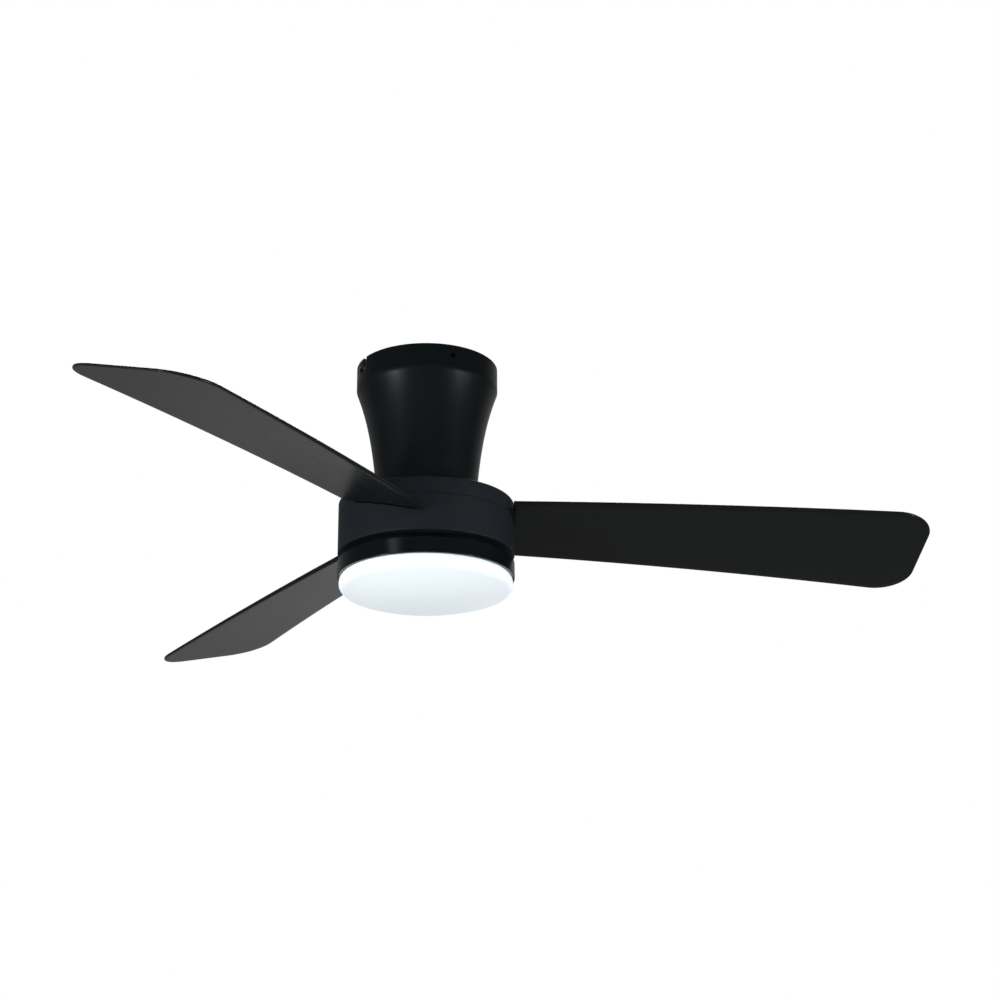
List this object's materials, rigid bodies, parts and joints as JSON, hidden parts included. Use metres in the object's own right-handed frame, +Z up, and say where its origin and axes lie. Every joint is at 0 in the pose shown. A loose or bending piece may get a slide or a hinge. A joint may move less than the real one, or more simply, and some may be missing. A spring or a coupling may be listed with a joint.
{
  "type": "ceiling fan with light",
  "caption": "Flush-mount black ceiling fan with a flared canopy, drum motor housing, pitched square-tipped blades and an opal dome light under a trim ring.",
  "frame": {"origin": "centre of the ceiling bracket's slot pattern, on the bracket's upper face, which lies against the ceiling", "axes": "+Z up into the ceiling along the fan's axis, +X along the first blade, +Y across it; the longest extent runs along Y"},
  "size_m": [1.0468, 1.1923, 0.3299],
  "materials": {
    "canopy_paint": "satin black powder coat",
    "housing_paint": "matte blue-black powder coat",
    "ring_gloss": "semi-gloss black",
    "pan_paint": "matte black",
    "blade_black": "satin black with a fine lengthwise grain",
    "opal": "opal white, smooth satin",
    "black_screws": "blackened steel",
    "zinc_steel": "bright zinc plate",
    "bare_steel": "turned steel",
    "bearing_steel": "ground and polished",
    "cast_aluminium": "die cast",
    "aluminium_plate": "rolled sheet",
    "lamination": "laminated and varnished",
    "magnet": "sintered ferrite",
    "copper": "enamelled copper wire",
    "brass_screws": "brass",
    "earth_green": "green plated",
    "terminal_plastic": "natural nylon",
    "grey_plastic": "moulded grey",
    "white_plastic": "moulded white",
    "board_white": "white solder mask",
    "led_phosphor": "yellow phosphor",
    "black_rubber": "matte black"
  },
  "bodies": {
    "mount_frame": {"ceiling_bracket": "zinc_steel", "terminal_block": "terminal_plastic", "terminal_screws": "brass_screws", "earth_screw": "earth_green", "receiver_case": "grey_plastic", "receiver_strap": "zinc_steel", "canopy": "canopy_paint", "canopy_screws": "black_screws", "shaft_flange": "bare_steel", "flange_screws": "zinc_steel", "shaft": "bare_steel", "retaining_rings": "bare_steel", "stator_core": "lamination", "windings": "copper", "lead_bundle": "black_rubber", "shaft_spacer": "bare_steel", "light_pan": "pan_paint", "pan_nut": "zinc_steel", "led_driver": "white_plastic", "plate_posts": "zinc_steel", "led_plate": "aluminium_plate", "plate_screws": "zinc_steel", "led_board": "board_white", "led_chips": "led_phosphor", "trim_ring": "ring_gloss", "ring_screws": "zinc_steel"},
    "rotor": {"housing_cover": "housing_paint", "cover_screws": "black_screws", "housing_base": "housing_paint", "base_screws": "black_screws", "rotor_bell": "bare_steel", "rotor_end_plate": "bare_steel", "end_plate_screws": "zinc_steel", "magnets": "magnet", "upper_bearing": "bearing_steel", "lower_bearing": "bearing_steel", "blade_carrier": "cast_aluminium", "blade_gaskets": "black_rubber", "blade_screws": "zinc_steel", "blade_1": "blade_black", "blade_2": "blade_black", "blade_3": "blade_black"},
    "lens": {"diffuser": "opal"}
  },
  "joints": [
    {"name": "rotor_spin", "type": "hinge", "parent": "mount_frame", "child": "rotor", "pos_m": [0, 0, -0.2281], "axis": [0, 0, 1], "continuous": true},
    {"name": "lens_twist", "type": "hinge", "parent": "mount_frame", "child": "lens", "pos_m": [0, 0, -0.294], "axis": [0, 0, 1], "range_deg": [0, 15]}
  ]
}
